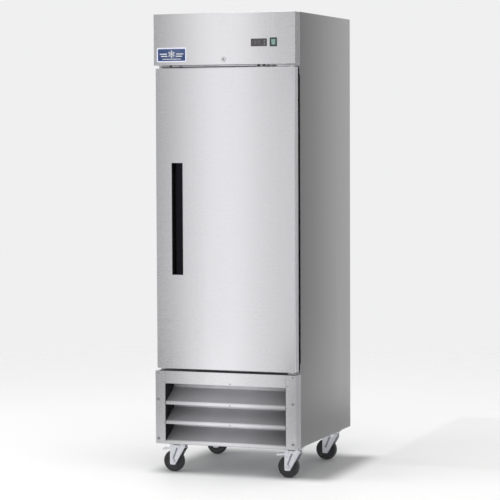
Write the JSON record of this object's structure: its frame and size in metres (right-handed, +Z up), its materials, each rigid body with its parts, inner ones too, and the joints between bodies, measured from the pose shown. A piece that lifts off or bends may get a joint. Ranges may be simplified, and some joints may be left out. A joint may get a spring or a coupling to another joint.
{
  "type": "reach-in refrigerator",
  "caption": "Upright stainless reach-in refrigerator with a solid hinged door, recessed grip, header controls, louvred lower grille and swivel casters.",
  "frame": {"origin": "middle of the whole object's footprint, on the floor under the casters", "axes": "+Z up; the door and controls face -Y; +X is to the right as seen from the front"},
  "size_m": [0.68, 0.818, 2.1],
  "materials": {
    "stainless": "satin",
    "side_steel": "satin",
    "galvanised": "satin",
    "liner_aluminium": "satin",
    "coil": "matte",
    "foam": "matte",
    "shelf_coating": "gloss",
    "black_plastic": "satin",
    "gasket_rubber": "matte",
    "lens": "gloss",
    "display_glass": "gloss",
    "rocker_green": "gloss",
    "key_grey": "satin",
    "badge_blue": "gloss",
    "chrome": "polished",
    "zinc": "satin",
    "tread": "satin",
    "black_steel": "satin",
    "mount_rubber": "matte",
    "copper": "satin",
    "tray_plastic": "satin",
    "fan_plastic": "satin",
    "nylon": "satin"
  },
  "bodies": {
    "cabinet": {"badge": "badge_blue", "base_pan": "galvanised", "caster_plates": "zinc", "compressor": "black_steel", "compressor_mounts": "mount_rubber", "condensate_pan": "tray_plastic", "condenser_coil": "coil", "condenser_shroud": "galvanised", "controller_body": "black_plastic", "controller_window": "display_glass", "cord_gland": "black_plastic", "electrical_box": "galvanised", "evaporator_coil": "coil", "evaporator_housing": "liner_aluminium", "front_frame": "stainless", "grille_frame": "stainless", "header_panel": "stainless", "hinge_brackets": "stainless", "inner_liner": "liner_aluminium", "insulation": "foam", "interior_lamp": "lens", "lock_barrel": "chrome", "louvre_blades": "stainless", "panel_screws": "zinc", "rear_and_deck_panels": "galvanised", "rear_vent": "galvanised", "refrigerant_lines": "copper", "shelf_clips": "stainless", "shelf_standards": "stainless", "side_panel_left": "side_steel", "side_panel_right": "side_steel", "switch_body": "black_plastic", "top_panel": "side_steel"},
    "door": {"door_skin": "stainless", "door_foam": "foam", "door_frame": "black_plastic", "door_inner_panel": "liner_aluminium", "door_gasket": "gasket_rubber", "handle_pocket": "black_plastic", "handle_grip": "black_plastic", "hinge_bushes": "nylon"},
    "rocker": {"rocker": "rocker_green"},
    "key_up": {"key_up": "key_grey"},
    "key_down": {"key_down": "key_grey"},
    "lock": {"lock_plug": "chrome"},
    "condenser_fan": {"condenser_fan": "fan_plastic"},
    "evaporator_fan": {"evaporator_fan": "fan_plastic"},
    "shelf_lower": {"shelf_lower": "shelf_coating"},
    "shelf_middle": {"shelf_middle": "shelf_coating"},
    "shelf_upper": {"shelf_upper": "shelf_coating"},
    "swivel_front_left": {"caster_fork_front_left": "zinc"},
    "wheel_front_left": {"caster_wheel_front_left": "tread"},
    "swivel_front_right": {"caster_fork_front_right": "zinc"},
    "wheel_front_right": {"caster_wheel_front_right": "tread"},
    "swivel_rear_left": {"caster_fork_rear_left": "zinc"},
    "wheel_rear_left": {"caster_wheel_rear_left": "tread"},
    "swivel_rear_right": {"caster_fork_rear_right": "zinc"},
    "wheel_rear_right": {"caster_wheel_rear_right": "tread"},
    "brake_left": {"brake_lever_left": "zinc"},
    "brake_right": {"brake_lever_right": "zinc"}
  },
  "joints": [
    {"name": "door_hinge", "type": "hinge", "parent": "cabinet", "child": "door", "pos_m": [0.318, -0.391, 1.171], "axis": [0, 0, 1], "range_deg": [0, 115]},
    {"name": "power_rocker", "type": "hinge", "parent": "cabinet", "child": "rocker", "pos_m": [0.239, -0.404, 1.965], "axis": [-1, 0, 0], "range_deg": [0, 15]},
    {"name": "key_up_press", "type": "slide", "parent": "cabinet", "child": "key_up", "axis": [0, 1, 0], "range_m": [0, 0.001], "stiffness_N_per_m": 300},
    {"name": "key_down_press", "type": "slide", "parent": "cabinet", "child": "key_down", "axis": [0, 1, 0], "range_m": [0, 0.001], "stiffness_N_per_m": 300},
    {"name": "lock_turn", "type": "hinge", "parent": "cabinet", "child": "lock", "pos_m": [0, -0.396, 1.891], "axis": [0, 1, 0], "range_deg": [0, 90]},
    {"name": "condenser_fan_spin", "type": "hinge", "parent": "cabinet", "child": "condenser_fan", "pos_m": [-0.135, -0.197, 0.302], "axis": [0, 1, 0], "continuous": true},
    {"name": "evaporator_fan_spin", "type": "hinge", "parent": "cabinet", "child": "evaporator_fan", "pos_m": [-0.13, 0.15, 1.901], "axis": [0, 0, 1], "continuous": true},
    {"name": "shelf_lower_lift", "type": "slide", "parent": "cabinet", "child": "shelf_lower", "axis": [0, 0, 1], "range_m": [0, 0.03]},
    {"name": "shelf_middle_lift", "type": "slide", "parent": "cabinet", "child": "shelf_middle", "axis": [0, 0, 1], "range_m": [0, 0.03]},
    {"name": "shelf_upper_lift", "type": "slide", "parent": "cabinet", "child": "shelf_upper", "axis": [0, 0, 1], "range_m": [0, 0.03]},
    {"name": "swivel_front_left", "type": "hinge", "parent": "cabinet", "child": "swivel_front_left", "pos_m": [-0.257, -0.331, 0.12], "axis": [0, 0, 1], "continuous": true},
    {"name": "wheel_front_left", "type": "hinge", "parent": "swivel_front_left", "child": "wheel_front_left", "pos_m": [-0.279, -0.331, 0.05], "axis": [0, 1, 0], "continuous": true},
    {"name": "swivel_front_right", "type": "hinge", "parent": "cabinet", "child": "swivel_front_right", "pos_m": [0.302, -0.331, 0.12], "axis": [0, 0, 1], "continuous": true},
    {"name": "wheel_front_right", "type": "hinge", "parent": "swivel_front_right", "child": "wheel_front_right", "pos_m": [0.28, -0.331, 0.05], "axis": [0, 1, 0], "continuous": true},
    {"name": "swivel_rear_left", "type": "hinge", "parent": "cabinet", "child": "swivel_rear_left", "pos_m": [-0.257, 0.221, 0.12], "axis": [0, 0, 1], "continuous": true},
    {"name": "wheel_rear_left", "type": "hinge", "parent": "swivel_rear_left", "child": "wheel_rear_left", "pos_m": [-0.279, 0.221, 0.05], "axis": [0, 1, 0], "continuous": true},
    {"name": "swivel_rear_right", "type": "hinge", "parent": "cabinet", "child": "swivel_rear_right", "pos_m": [0.302, 0.221, 0.12], "axis": [0, 0, 1], "continuous": true},
    {"name": "wheel_rear_right", "type": "hinge", "parent": "swivel_rear_right", "child": "wheel_rear_right", "pos_m": [0.28, 0.221, 0.05], "axis": [0, 1, 0], "continuous": true},
    {"name": "brake_left", "type": "hinge", "parent": "swivel_front_left", "child": "brake_left", "pos_m": [-0.291, -0.331, 0.108], "axis": [0, -1, 0], "range_deg": [0, 12]},
    {"name": "brake_right", "type": "hinge", "parent": "swivel_front_right", "child": "brake_right", "pos_m": [0.268, -0.331, 0.108], "axis": [0, -1, 0], "range_deg": [0, 12]}
  ]
}
